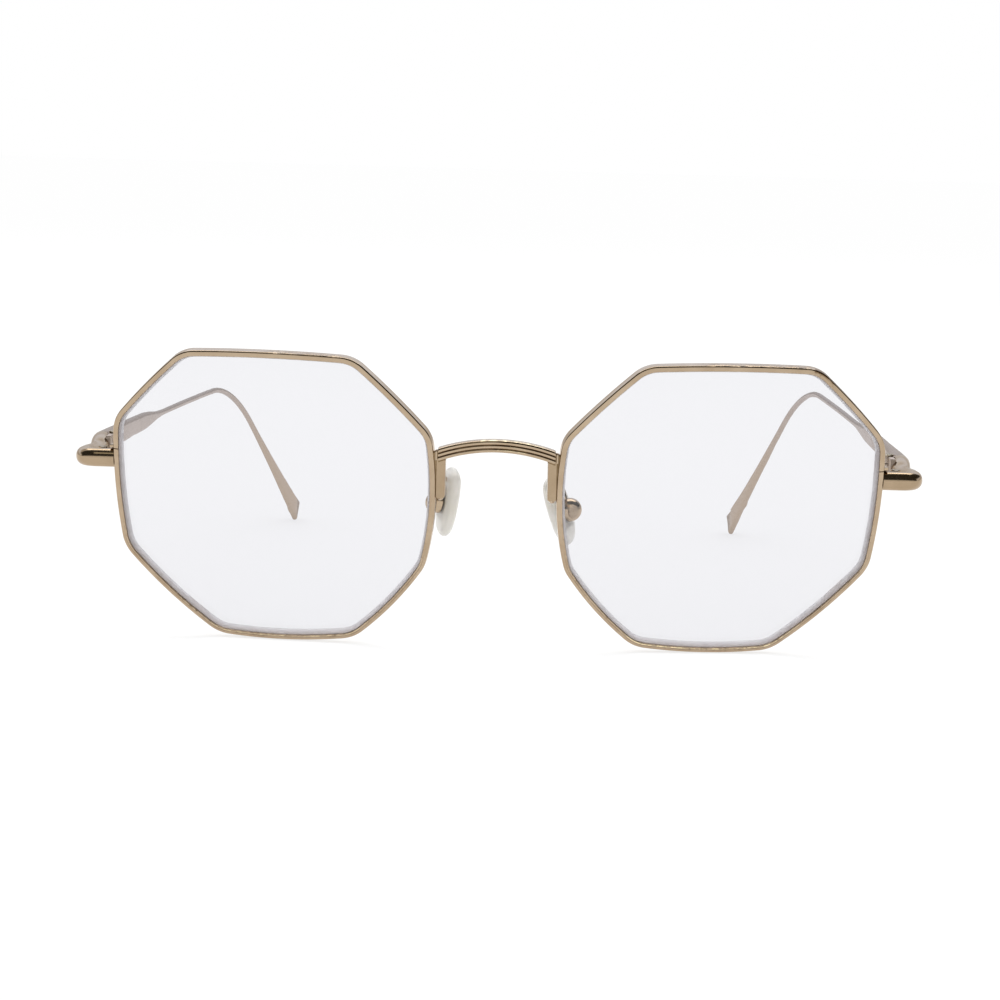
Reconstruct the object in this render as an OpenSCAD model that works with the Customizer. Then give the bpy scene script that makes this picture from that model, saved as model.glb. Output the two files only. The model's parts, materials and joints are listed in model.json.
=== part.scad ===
// Octagonal full-rim metal eyeglasses, standing on both rims and both temple tips.
// Left and right are the wearer's: left is +X, the nose side faces -Y, +Z is up.
// Every piece is drawn for the left side, and the right side is its mirror image.

/* [Rims] */
// Width of one rim over its outermost points
rim_w = 52.3; // [48:0.1:56]
// Height of one rim over its outermost points
rim_h = 48.8; // [45:0.2:52]
// Gap between the two rims at the nose
rim_gap = 19.6; // [17.5:0.1:23]
// Radius at the corners of the octagon
corner_r = 6; // [4:0.5:8]
// Width of the rim as seen from the front
rim_face = 0.86; // [0.8:0.02:1.3]
// Depth of the rim from front to back
rim_depth = 1.7; // [1.5:0.1:2.4]
// Depth of the groove that holds the lens
groove_depth = 0.35; // [0.2:0.05:0.5]
// Width of that groove
groove_w = 0.7; // [0.5:0.05:1]
// Radius of the front curve of rims and lenses
base_r = 118; // [100:1:200]
// Lean of the rims, top forwards, in degrees
tilt = 13.3; // [6:0.1:16]
// Turn of each rim back round the face, in degrees
wrap = 6.6; // [2:0.1:9]
// Width of the saw cut that lets the lens in
split_w = 0.15; // [0.1:0.01:0.3]

/* [Lenses] */
// Thickness of a lens
lens_t = 2.2; // [1.2:0.1:2.8]
// How far the lens lies behind the rim's front
lens_set_back = 0.3; // [0.1:0.05:0.4]
// Gap left between lens and rim
lens_gap = 0.03; // [0.02:0.01:0.06]

/* [Bridge] */
// Height of the bridge, across its three ridges
bridge_h = 2; // [1.6:0.1:3]
// Depth of the bridge from front to back
bridge_depth = 1.3; // [1.1:0.1:2]
// Rise of the bridge's arch
bridge_rise = 1.7; // [0.8:0.1:3]
// Height of the bridge's ends above the lens centres, along the rim
bridge_v = 9; // [8:0.1:12]
// Gap between the bridge's ridged part and each rim
bridge_clear = 0.7; // [0.3:0.05:1.6]

/* [End pieces] */
// Diameter of the round bar
bar_d = 3; // [2.4:0.1:3.6]
// Height of the bar above the lens centres, along the rim
end_v = 4.7; // [2:0.1:8]
// How far the end piece stands out from the rim
end_reach = 6.6; // [5:0.05:9]
// Distance from the bar's front to the joint with the temple
end_depth = 15.5; // [13:0.1:18]
// Height of the joint face between end piece and temple
joint_h = 3.9; // [3.4:0.1:4.6]
// Width of the joint face
joint_t = 3.1; // [2.8:0.1:3.6]
// Gap between the joint faces
joint_gap = 0.12; // [0.06:0.02:0.3]

/* [Hinges] */
// Outer diameter of the knuckles
knuckle_d = 2.5; // [2.2:0.1:2.8]
// Height of the middle knuckle
knuckle_h = 1.1; // [0.8:0.05:1.3]
// Gap between two knuckles
knuckle_gap = 0.05; // [0.03:0.01:0.1]
// Shank diameter of the hinge screw
hinge_screw_d = 1.2; // [1:0.1:1.4]
// Thickness of the hinge leaves
leaf_t = 0.8; // [0.6:0.05:1]
// Length of the hinge leaves
leaf_l = 4.5; // [3:0.1:6]
// Radial running gap of every pivot
pivot_gap = 0.03; // [0.02:0.01:0.06]

/* [Temples] */
// Length of a temple along its run, from the joint to the tip
temple_len = 137.5; // [125:0.5:150]
// Height of the blade where it starts to narrow
blade_h = 3; // [2.4:0.1:3.8]
// Thickness of the blade there
blade_t = 1.4; // [1.1:0.1:2]
// Length of the blade before it narrows
blade_len = 30; // [16:1:34]
// Length over which the blade narrows to the wire
taper_len = 14; // [10:1:24]
// Diameter of the wire
wire_d = 1; // [0.8:0.1:1.4]
// Rise of the left temple towards the back, in degrees
left_rise_angle = 3.3; // [0:0.1:5]
// Rise of the right temple towards the back, in degrees
right_rise_angle = 1; // [0:0.1:5]
// Inward heading of the left temple at the joint, in degrees
left_toe_angle = 2.4; // [1:0.1:4.5]
// Inward heading of the right temple at the joint, in degrees
right_toe_angle = 3; // [1:0.1:4.5]
// How much further inwards a temple heads where its bend starts, in degrees
bow_angle = 5.2; // [2:0.1:7]
// How much further inwards again it heads behind the bend, in degrees
drop_toe_angle = 9.4; // [4:0.1:12]
// Length of the bend along the wire
bend_len = 25; // [12:1:26]
// Downward slope of the part behind the bend, in degrees
drop_angle = 41; // [36:0.5:48]
// Width of the paddle at the tip
paddle_h = 4; // [3.2:0.1:5.5]
// Thickness of the paddle
paddle_t = 1.2; // [1:0.1:1.6]
// Slant of the tip's end, lower edge further back, in degrees
tip_slant = 20; // [0:1:25]
// How far the tip's edges are rounded
tip_round = 0.3; // [0.2:0.05:0.5]

/* [Nose pads] */
// Height of a pad
pad_h = 11.2; // [10:0.2:14]
// Width of a pad, front to back
pad_w = 7.6; // [6:0.2:8]
// Thickness of a pad
pad_t = 2; // [1.7:0.1:3]
// Distance of the left pad's middle from the middle plane
left_pad_x = 10.2; // [9:0.1:10.5]
// Distance of the right pad's middle from the middle plane
right_pad_x = 8; // [7:0.1:8.5]
// Distance of the left pad behind the lens centres
left_pad_y = 10.1; // [9.5:0.1:11.5]
// Distance of the right pad behind the lens centres
right_pad_y = 9.7; // [9:0.1:11]
// Height of the left pad's middle below the lens centres
left_pad_below = 0.9; // [0:0.1:2]
// Height of the right pad's middle below the lens centres
right_pad_below = 0.1; // [-0.5:0.1:1.5]
// Slant of the left pad, top nearer the middle, in degrees
left_pad_slant = 15; // [8:1:20]
// Slant of the right pad, top nearer the middle, in degrees
right_pad_slant = 6; // [2:1:14]
// Splay of the left pad, front nearer the middle, in degrees
left_pad_splay = 21; // [12:1:26]
// Splay of the right pad, front nearer the middle, in degrees
right_pad_splay = 17; // [8:1:24]
// Lean of a pad, top forwards, in degrees
pad_lean = 8; // [0:1:12]
// Gap between a pad and the mouth of its box
box_gap = 0.35; // [0.3:0.05:0.6]
// Outer diameter of the pad box
box_d = 3.8; // [3.6:0.1:4.4]
// Wall of the pad box
box_wall = 0.4; // [0.3:0.05:0.5]
// Shank diameter of the pad screw
pad_screw_d = 1; // [0.8:0.1:1.1]

/* [Pad arms] */
// Width of the strip soldered beside the rim
strip_w = 1.35; // [1:0.05:1.8]
// Thickness of the strip
strip_t = 1.2; // [0.9:0.1:1.5]
// Width of the seam between strip and rim, soldered at the back
strip_seam = 0.1; // [0.05:0.05:0.4]
// Height of the strip's lower end above the lens centres
strip_v = 1.8; // [0:0.1:3]
// Diameter of the arm's wire
arm_d = 1; // [0.8:0.1:1.2]

/* [Closing screws] */
// Shank diameter of the closing screw
closing_screw_d = 0.9; // [0.8:0.1:1]
// Thickness of each closing lug
lug_t = 1.1; // [0.9:0.1:1.3]
// Width of the tang that joins the upper lug to the rim
tang_w = 0.7; // [0.5:0.1:1]
// Height of that tang
tang_h = 0.45; // [0.35:0.05:0.8]

/* [Hidden] */

$fn = 48;
ball_fn = 200;      // roundness of the large lens curves
eps = 0.01;         // how far a cutter runs past the face that it opens
prism_front = 6;    // how far the outline's prism reaches in front of the rim's middle
prism_back = 14;    // and how far behind it

gold = [0.80, 0.71, 0.58];
rose = [0.78, 0.70, 0.67];
clear = [0.93, 0.95, 0.97, 0.4];
silicone = [0.88, 0.88, 0.86, 0.8];

// Outline of a rim: eight corners, named from the nose side's top round by the nose,
// as drawn for a rim of 52 by 48.8, and the radius of the side that follows each corner
drawn_w = 52;
drawn_h = 48.8;
drawn_corners = [[-12.7, 24.1], [-25.2, 12], [-24.4, -10.1], [-12.9, -23.4],
    [9.3, -24.2], [24.6, -10.2], [26, 11.3], [14.7, 23.5]];
side_r = [100, 52, 58, 108, 105, 118, 104, 168];
sides = len(side_r);
nose_side = 1;
temple_side = 5;
side_steps = 5;
corner_steps = 6;

function wrap_index(i) = (i + sides) % sides;
function bearing(v) = atan2(v[1], v[0]);
function unit(v) = v / norm(v);
function mix(a, b, f) = a + (b - a) * f;
function ease(f) = let (g = min(max(f, 0), 1)) g * g * (3 - 2 * g);
// The angle b counted on from a, between 0 and 360 degrees further round
function after(a, b) = a + ((b - a) % 360 + 360) % 360;
function on_circle(c, r, a) = c + r * [cos(a), sin(a)];
// Points along an arc, without its last one
function arc(c, r, a, b, n) = [for (k = [0:n - 1]) on_circle(c, r, mix(a, b, k / n))];
function sum(v, n) = n < 0 ? 0 * v[0] : v[n] + sum(v, n - 1);

function corner(i) = let (c = drawn_corners[wrap_index(i)])
    [c[0] * rim_w / drawn_w, c[1] * rim_h / drawn_h];
function radius_of_side(i) = side_r[wrap_index(i)];

function side_centre(i) =
    let (a = corner(i), b = corner(i + 1), half = norm(b - a) / 2, along = unit(b - a))
    (a + b) / 2 + [-along[1], along[0]] * sqrt(pow(radius_of_side(i), 2) - half * half);

// The corner's circle touches both sides' circles from inside
function corner_centre(i) =
    let (c1 = side_centre(i - 1), c2 = side_centre(i),
        r1 = radius_of_side(i - 1) - corner_r, r2 = radius_of_side(i) - corner_r,
        d = norm(c2 - c1), e = unit(c2 - c1),
        along = (r1 * r1 - r2 * r2 + d * d) / (2 * d),
        across = sqrt(r1 * r1 - along * along),
        p = c1 + e * along + [-e[1], e[0]] * across,
        q = c1 + e * along - [-e[1], e[0]] * across)
    norm(p - corner(i)) < norm(q - corner(i)) ? p : q;

function corner_arc(i, inset) =
    let (f = corner_centre(i), a = bearing(f - side_centre(i - 1)), b = bearing(f - side_centre(i)))
    arc(f, corner_r - inset, a, after(a, b), corner_steps);

function side_arc(i, inset) =
    let (c = side_centre(i), a = bearing(corner_centre(i) - c), b = bearing(corner_centre(i + 1) - c))
    arc(c, radius_of_side(i) - inset, a, after(a, b), side_steps);

// The rim's outline, moved in by inset
function outline(inset) = [for (i = [0:sides - 1]) each concat(corner_arc(i, inset), side_arc(i, inset))];

// How far the rim's front lies behind its middle
function sag(u, v) = base_r - sqrt(base_r * base_r - u * u - v * v);

// How far out the temple side and the nose side lie at height v
function temple_edge(v) = let (c = side_centre(temple_side))
    c[0] + sqrt(pow(radius_of_side(temple_side), 2) - pow(v - c[1], 2));
function nose_edge(v) = let (c = side_centre(nose_side))
    c[0] - sqrt(pow(radius_of_side(nose_side), 2) - pow(v - c[1], 2));

// Turns a point of the rim's own frame, [towards the temple, back, up], into the standing frame
function lean(p) =
    let (x = p[0] * cos(wrap) - p[1] * sin(wrap), y = p[0] * sin(wrap) + p[1] * cos(wrap))
    [x, y * cos(tilt) - p[2] * sin(tilt), y * sin(tilt) + p[2] * cos(tilt)];

rim_front = [for (p = outline(0)) lean([p[0], sag(p[0], p[1]), p[1]])];
lens_x = rim_gap / 2 + rim_w / 2;
lens_z = -min([for (p = rim_front) p[2]]);
function from_rim(p) = [lens_x, 0, lens_z] + lean(p);

// End piece: where it starts, and how its bar and its leg run
root = from_rim([temple_edge(end_v), sag(temple_edge(end_v), end_v), end_v]);
bar_y = root[1] + bar_d / 2 - 0.05;
leg_x = root[0] + end_reach - bar_d / 2;
elbow_r = 2.2;
elbow_steps = 8;
joint_y = root[1] + end_depth;
joint_in = 0.75;      // the leg drifts inwards by this
joint_up = 0.7;       // and rises by this, up to the joint
joint = [leg_x - joint_in, joint_y, root[2] + joint_up];
neck_d = bar_d - 0.1;
// The leg: share of its length, shift inwards, shift up, height and width
leg_rows = [[0.15, 0.15, 0.02, bar_d, bar_d],
    [0.32, 0.6, 0.08, neck_d, neck_d],
    [0.46, 1.0, 0.2, neck_d, neck_d - 0.1],
    [0.58, 1.05, 0.4, mix(neck_d, joint_h, 0.5), mix(neck_d, joint_t, 0.4)],
    [0.7, 0.95, 0.55, mix(neck_d, joint_h, 0.85), mix(neck_d, joint_t, 0.8)],
    [0.82, 0.85, 0.66, mix(neck_d, joint_h, 0.98), joint_t],
    [0.92, 0.78, joint_up, joint_h, joint_t],
    [1, joint_in, joint_up, joint_h, joint_t]];
row_steps = 3;        // stations from one row to the next
// A smooth curve through four values, from the second to the third
function spline(a, b, c, d, f) =
    b + (c - a) * f / 2 + (2 * a - 5 * b + 4 * c - d) * f * f / 2 + (3 * b - a - 3 * c + d) * f * f * f / 2;
function row_at(i) = leg_rows[min(max(i, 0), len(leg_rows) - 1)];
leg_stations = concat([leg_rows[0]], [for (i = [0:len(leg_rows) - 2]) for (k = [1:row_steps])
    spline(row_at(i - 1), row_at(i), row_at(i + 1), row_at(i + 2), k / row_steps)]);

// Hinge: the pivot's place and the levels of its knuckles
knuckle_r = knuckle_d / 2;
pivot_in = 0.45;      // how far the pivot lies inwards from the joint's inner side
pivot = [joint[0] - joint_t / 2 - pivot_in, joint_y + joint_gap / 2, joint[2]];
hinge_top = knuckle_h * 1.5 + knuckle_gap;
leaf_sink = 0.3;      // how deep a leaf lies in the piece that carries it
leaf_x = pivot[0] + pivot_in + leaf_sink - leaf_t;
temple_leaf_top = hinge_top - 0.3;
hinge_head_d = hinge_screw_d + 0.7;
sweep_gap = 0.12;     // room round the knuckles of the other half
screw_head_t = 0.4;
screw_slot_w = 0.25;
screw_slot_depth = 0.2;

// Temple: its run is a list of stations, each a length along it
shaft_steps = 18;
bend_steps = 14;
drop_steps = 9;
start = [joint[0], joint_y + joint_gap, joint[2]];
function run(heading, slope) = [-sin(heading) * cos(slope), cos(heading) * cos(slope), sin(slope)];
function temple_rise(side) = side > 0 ? left_rise_angle : right_rise_angle;
function shaft_heading(side, f) = (side > 0 ? left_toe_angle : right_toe_angle) + bow_angle * f;
function bend_heading(side, f) = shaft_heading(side, 1) + drop_toe_angle * f;
function bend_slope(side, f) = mix(temple_rise(side), -drop_angle, f);
function bend_runs(side) = [for (k = [0.5:bend_steps - 0.5])
    run(bend_heading(side, k / bend_steps), bend_slope(side, k / bend_steps)) * bend_len / bend_steps];
// How far the middle of the tip lies above the surface that its lower edge rests on
tip_drop = cos(drop_angle) + sin(drop_angle) * tan(tip_slant);
tip_low = max(paddle_h / 2 * tip_drop - tip_round * sin(drop_angle), (paddle_h / 2 - tip_round) * tip_drop);
// Shaft and drop share the temple's length so that the tip comes down to z = 0
function drop_len(side) =
    let (rise = sin(temple_rise(side)), fall = sum(bend_runs(side), bend_steps - 1)[2])
    (start[2] + (temple_len - bend_len) * rise + fall - tip_low) / (sin(drop_angle) + rise);
function shaft_len(side) = temple_len - bend_len - drop_len(side);
function shaft_runs(side) = [for (k = [0.5:shaft_steps - 0.5])
    run(shaft_heading(side, k / shaft_steps), temple_rise(side)) * shaft_len(side) / shaft_steps];

// Height and thickness of the temple at a length along it
function narrowing(s) = ease((s - blade_len) / taper_len);
function widening(side, s) =
    min(max((s - shaft_len(side) - bend_len) / (drop_len(side) - tip_round), 0), 1);
function temple_h(side, s) = s < shaft_len(side)
    ? mix(mix(joint_h, blade_h, min(s / blade_len, 1)), wire_d, narrowing(s))
    : mix(wire_d, paddle_h, pow(widening(side, s), 1.8));
function temple_t(side, s) = s < shaft_len(side)
    ? mix(mix(joint_t, blade_t, ease(s / (blade_len / 2))), wire_d, narrowing(s))
    : mix(wire_d, paddle_t, ease(widening(side, s) * 3));

// A rounded rectangle of points round a centre, with its width along side and height along rise
ring_corner_steps = 5;
ring_round = 0.9;     // share of the half thickness that is rounded away
function ring(centre, side, rise, w, h, keep = ring_round) =
    let (r = min(w, h) / 2 * keep)
    [for (q = [0:3]) for (k = [0:ring_corner_steps])
        let (a = 90 * q + 90 * k / ring_corner_steps,
            sx = q == 0 || q == 3 ? 1 : -1,
            sy = q < 2 ? 1 : -1)
        centre + side * (sx * (w / 2 - r) + r * cos(a)) + rise * (sy * (h / 2 - r) + r * sin(a))];

function ring_along(centre, heading, slope, w, h, slant = 0) = ring(centre, [cos(heading), sin(heading), 0],
    [sin(heading) * sin(slope), -cos(heading) * sin(slope), cos(slope)]
        - run(heading, slope) * tan(slant), w, h);

function temple_rings(side) =
    let (shaft = shaft_runs(side), bend = bend_runs(side),
        bend_start = start + sum(shaft, shaft_steps - 1),
        bend_end = bend_start + sum(bend, bend_steps - 1),
        heading = bend_heading(side, 1), away = run(heading, -drop_angle), length = drop_len(side))
    concat(
        [ring_along(start, 0, 0, joint_t, joint_h)],
        [for (k = [1:shaft_steps]) let (s = shaft_len(side) * k / shaft_steps - 0.001)
            ring_along(start + sum(shaft, k - 1), shaft_heading(side, k / shaft_steps), temple_rise(side),
                temple_t(side, s), temple_h(side, s))],
        [for (k = [1:bend_steps])
            ring_along(bend_start + sum(bend, k - 1), bend_heading(side, k / bend_steps),
                bend_slope(side, k / bend_steps), wire_d, wire_d)],
        [for (k = [1:drop_steps])
            let (d = (length - tip_round) * k / drop_steps, s = shaft_len(side) + bend_len + d)
            ring_along(bend_end + away * d, heading, -drop_angle, temple_t(side, s), temple_h(side, s),
                k == drop_steps ? tip_slant : 0)],
        [ring_along(bend_end + away * length, heading, -drop_angle,
            paddle_t - tip_round, paddle_h - 2 * tip_round, tip_slant)]);
left_rings = temple_rings(1);
right_rings = temple_rings(-1);

back_y = max([for (r = concat(left_rings, right_rings)) each [for (p = r) p[1]]]);
front_y = min([for (p = rim_front) p[1]]);
mid_y = (back_y + front_y) / 2;

// Nose pad: its own frame has x away from the nose, y back and z up
box_r = box_d / 2;
pin_in = 0.85;        // from the mouth to the pad screw
box_mouth = pad_t / 2 + box_gap;
pin_x = box_mouth + pin_in;
box_ball_x = box_mouth + 0.5;
box_hollow = 1.75;    // depth of the box's hollow, which narrows over its last part
box_narrow = 0.55;
box_floor_d = 2.3;    // and the hollow's diameter at the bottom
eye_r = pad_screw_d / 2 + 0.3;
eye_w = 2.1;
stem_w = 1.8;         // the stem joins the eye to the plate inside the pad
stem_h = 0.8;
plate_t = 0.5;
function pad_slant(side) = side > 0 ? left_pad_slant : right_pad_slant;
function pad_splay(side) = side > 0 ? left_pad_splay : right_pad_splay;
function pad_centre(side) = side > 0 ? [left_pad_x, left_pad_y, lens_z - left_pad_below]
    : [right_pad_x, right_pad_y, lens_z - right_pad_below];
function pad_turn(side, p) =
    let (s = pad_slant(side), t = pad_splay(side),
        a = [p[0], p[1] * cos(pad_lean) - p[2] * sin(pad_lean),
            p[1] * sin(pad_lean) + p[2] * cos(pad_lean)],
        b = [a[0] * cos(s) - a[2] * sin(s), a[1], a[0] * sin(s) + a[2] * cos(s)])
    [b[0] * cos(t) + b[1] * sin(t), b[1] * cos(t) - b[0] * sin(t), b[2]];
function from_pad(side, p) = pad_centre(side) + pad_turn(side, p);

// Bridge: its arch stands in a plane that leans with the rims
bridge_end = from_rim([nose_edge(bridge_v), sag(nose_edge(bridge_v), bridge_v), bridge_v]);
bridge_half = bridge_end[0] - bridge_clear;
bridge_r = (bridge_half * bridge_half + bridge_rise * bridge_rise) / (2 * bridge_rise);
bridge_proud = 0.3;   // how far the bridge stands in front of the rims
ridge_r = bridge_h / 5.5;
ridge_pitch = ridge_r * 1.75;
bridge_body_h = bridge_h - 0.1;
tongue_h = bridge_h - 0.6;
tongue_front = bridge_proud + 0.2;
tongue_back = bridge_depth - 0.1;

/* Shared shapes */

module stand(side) {
    translate([0, -mid_y, 0]) mirror([side < 0 ? 1 : 0, 0, 0]) children();
}

module in_rim_frame() {
    translate([lens_x, 0, lens_z]) rotate([tilt, 0, 0]) rotate([0, 0, wrap]) children();
}

module in_pad_frame(side) {
    translate(pad_centre(side)) rotate([0, 0, -pad_splay(side)]) rotate([0, -pad_slant(side), 0])
        rotate([pad_lean, 0, 0]) children();
}

// The outline's prism, through the depth of rim and lens
module prism(inset) {
    translate([0, prism_back, 0]) rotate([90, 0, 0])
        linear_extrude(prism_back + prism_front) polygon(outline(inset));
}

module ball(front, radius) {
    translate([0, front + radius, 0]) sphere(radius, $fn = ball_fn);
}

// The layer between two depths behind the rim's front
module layer(front, back) {
    difference() {
        ball(front, base_r - front);
        ball(back, base_r - back);
    }
}

module rim_envelope() {
    in_rim_frame() prism(0);
}

module pin(d, low, high) {
    translate([0, 0, low]) cylinder(d = d, h = high - low);
}

module slotted_head(d, low, t) {
    difference() {
        pin(d, low, low + t);
        translate([-d, -screw_slot_w / 2, low + t - screw_slot_depth]) cube([2 * d, screw_slot_w, t]);
    }
}

// A solid skinned over rings that all have the same number of points
module loft(rings) {
    n = len(rings[0]);
    m = len(rings);
    polyhedron(
        points = [for (r = rings) each r],
        faces = concat(
            [for (j = [0:m - 2]) for (k = [0:n - 1]) each
                let (a = j * n + k, b = j * n + (k + 1) % n)
                [[a, b, b + n], [a, b + n, a + n]]],
            [[for (k = [n - 1:-1:0]) k]],
            [[for (k = [0:n - 1]) (m - 1) * n + k]]));
}

/* Rims and lenses */

split_v = end_v + bar_d / 2 + 0.12;

module rim() {
    in_rim_frame() difference() {
        intersection() {
            prism(0);
            layer(0, rim_depth);
        }
        prism(rim_face);
        intersection() {
            prism(rim_face - groove_depth);
            layer((rim_depth - groove_w) / 2, (rim_depth + groove_w) / 2);
        }
        translate([rim_w / 4, -prism_front, split_v]) cube([rim_w / 2, prism_front + prism_back, split_w]);
    }
}

module lens() {
    ridge_front = (rim_depth - groove_w) / 2 + lens_gap;
    ridge_back = (rim_depth + groove_w) / 2 - lens_gap;
    in_rim_frame() union() {
        intersection() {
            prism(rim_face + lens_gap);
            layer(lens_set_back, lens_set_back + lens_t);
        }
        intersection() {
            prism(rim_face - groove_depth + lens_gap);
            layer(ridge_front, ridge_back);
        }
    }
}

/* Bridge */

module bridge_profile() {
    for (i = [-1:1]) translate([bridge_r + i * ridge_pitch, ridge_r]) circle(ridge_r);
    translate([bridge_r - bridge_body_h / 2, ridge_r]) square([bridge_body_h, bridge_depth - ridge_r]);
}

// A profile swept round the bridge's arch, half an opening angle to each side
module arch(half_angle) {
    translate([0, bridge_end[1] - bridge_proud, bridge_end[2]])
        rotate([tilt, 0, 0]) translate([0, 0, bridge_rise - bridge_r])
            rotate([90, 0, 0]) rotate([0, 0, 90 - half_angle])
                rotate_extrude(angle = 2 * half_angle, $fn = 240) mirror([0, 1]) children();
}

bridge_angle = asin(bridge_half / bridge_r);
tongue_over = 5;      // how many degrees further round the tongue runs
tongue_low = bridge_r - tongue_h / 2;

module bridge() {
    difference() {
        union() {
            arch(bridge_angle) bridge_profile();
            // A plain tongue behind the ridges reaches the rims
            arch(bridge_angle + tongue_over) translate([tongue_low, tongue_front])
                square([tongue_h, tongue_back - tongue_front]);
        }
        rim_envelope();
        mirror([1, 0, 0]) rim_envelope();
    }
}

/* End piece, closing lugs and closing screw */

lug_wall = 0.7;       // metal round the closing screw
lug_d = closing_screw_d + 2 * lug_wall;
lug_axis = [root[0] + 2.3, bar_y + bar_d / 2 + 0.95];
lug_front = lug_axis[1] - lug_d / 2;
lug_rear = lug_axis[1] + lug_d / 2;
lug_split = root[2];
lug_gap = 0.1;
lug_low = lug_split - lug_gap / 2 - lug_t;
lug_top = lug_split + lug_gap / 2 + lug_t;
lug_in = 3;           // how far the lugs start inside the rim's outer edge before they are cut
closing_head_d = closing_screw_d + 0.6;

function bar_row(x) = ring([x, bar_y, root[2]], [0, -1, 0], [0, 0, 1], bar_d, bar_d);
function elbow_row(a) =
    ring([leg_x - elbow_r + elbow_r * sin(a), bar_y + elbow_r - elbow_r * cos(a), root[2]],
        [sin(a), -cos(a), 0], [0, 0, 1], bar_d, bar_d);
function leg_row(r) =
    ring([leg_x - r[1], mix(bar_y + elbow_r, joint_y, r[0]), root[2] + r[2]],
        [1, 0, 0], [0, 0, 1], r[4], r[3]);
bar_start = root[0] - bar_d / 2;    // inside the rim's envelope, which is cut away from it
end_rings = concat([bar_row(bar_start), bar_row(root[0] + 0.5)],
    [for (k = [0:elbow_steps]) elbow_row(90 * k / elbow_steps)],
    [for (r = leg_stations) leg_row(r)]);

module end_piece() {
    difference() {
        loft(end_rings);
        rim_envelope();
        lug_shape(lug_low, lug_top);
        hinge_leaf(-1, -hinge_top, hinge_top);
        hinge_sweep(-hinge_top - sweep_gap, hinge_top + 2);
    }
}

// Plan of a closing lug: round about the screw, and running in to the rim
module lug_plan() {
    translate(lug_axis) circle(d = lug_d);
    translate([root[0] - lug_in, lug_front]) square([lug_axis[0] - root[0] + lug_in, lug_d]);
}

module lug_shape(low, high) {
    translate([0, 0, low]) linear_extrude(high - low) lug_plan();
}

module lug(low, high) {
    difference() {
        lug_shape(low, high);
        translate([lug_axis[0], lug_axis[1], 0]) pin(closing_screw_d + 2 * pivot_gap, low - 1, high + 1);
        rim_envelope();
    }
}

// The upper lug climbs behind the bar and reaches forward to the rim's upper end
module upper_lug() {
    clear = 0.05;
    above_cut = root[2] + (split_v + split_w - end_v) * cos(tilt) + clear;
    bar_back = bar_y + bar_d / 2 + clear;
    tang_y = root[1] + 0.4;
    lug(lug_split + lug_gap / 2, lug_top);
    difference() {
        translate([root[0] - lug_in, 0, 0]) union() {
            translate([0, bar_back, lug_top])
                cube([lug_in + tang_w, lug_rear - bar_back, above_cut + tang_h - lug_top]);
            translate([0, tang_y, above_cut]) cube([lug_in + tang_w, lug_rear - tang_y, tang_h]);
        }
        rim_envelope();
    }
}

module lower_lug() {
    lug(lug_low, lug_split - lug_gap / 2);
}

module closing_screw() {
    translate([lug_axis[0], lug_axis[1], 0]) {
        pin(closing_screw_d, lug_low, lug_top);
        slotted_head(closing_head_d, lug_top, screw_head_t);
    }
}

/* Hinge */

module at_pivot() {
    translate(pivot) children();
}

// A leaf of the hinge, forwards (-1) or backwards (1) from the pivot
module hinge_leaf(way, low, high) {
    y0 = way < 0 ? -leaf_l : joint_gap / 2;
    y1 = way < 0 ? -joint_gap / 2 : leaf_l;
    translate([leaf_x, pivot[1] + y0, pivot[2] + low]) cube([leaf_t, y1 - y0, high - low]);
}

// The room that the knuckles of the other half turn in
module hinge_sweep(low, high) {
    at_pivot() pin(knuckle_d + 2 * sweep_gap, low, high);
}

module front_hinge() {
    mid = knuckle_h / 2 + knuckle_gap;
    difference() {
        union() {
            hinge_leaf(-1, -hinge_top, hinge_top);
            at_pivot() pin(knuckle_d, -hinge_top, -mid);
            at_pivot() pin(knuckle_d, mid, hinge_top);
        }
        hinge_sweep(-mid, mid);
        at_pivot() pin(hinge_screw_d + 2 * pivot_gap, -hinge_top - 1, hinge_top + 1);
    }
}

module temple_hinge() {
    mid = knuckle_h / 2;
    difference() {
        union() {
            difference() {
                hinge_leaf(1, -temple_leaf_top, temple_leaf_top);
                hinge_sweep(mid, hinge_top + 1);
                hinge_sweep(-hinge_top - 1, -mid);
            }
            at_pivot() pin(knuckle_d, -mid, mid);
        }
        at_pivot() pin(hinge_screw_d + 2 * pivot_gap, -hinge_top - 1, hinge_top + 1);
    }
}

module hinge_screw() {
    at_pivot() {
        pin(hinge_screw_d, -hinge_top, hinge_top);
        slotted_head(hinge_head_d, hinge_top, screw_head_t);
    }
}

/* Temple */

module temple(side) {
    difference() {
        loft(side > 0 ? left_rings : right_rings);
        hinge_leaf(1, -temple_leaf_top, temple_leaf_top);
        hinge_sweep(-hinge_top - 2, hinge_top + 2);
    }
}

/* Pad arm, pad box, pad and pad screw */

arm_steps = 14;
arm_sides = 12;
strip_out = strip_w + strip_seam;
arm_from = from_rim([nose_edge(strip_v) - strip_out + strip_w / 2,
    sag(nose_edge(strip_v), strip_v) + strip_t / 2, strip_v + arm_d * 0.7]);
function arm_to(side) = from_pad(side, [box_ball_x, -0.2, box_r * 0.7]);
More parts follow.
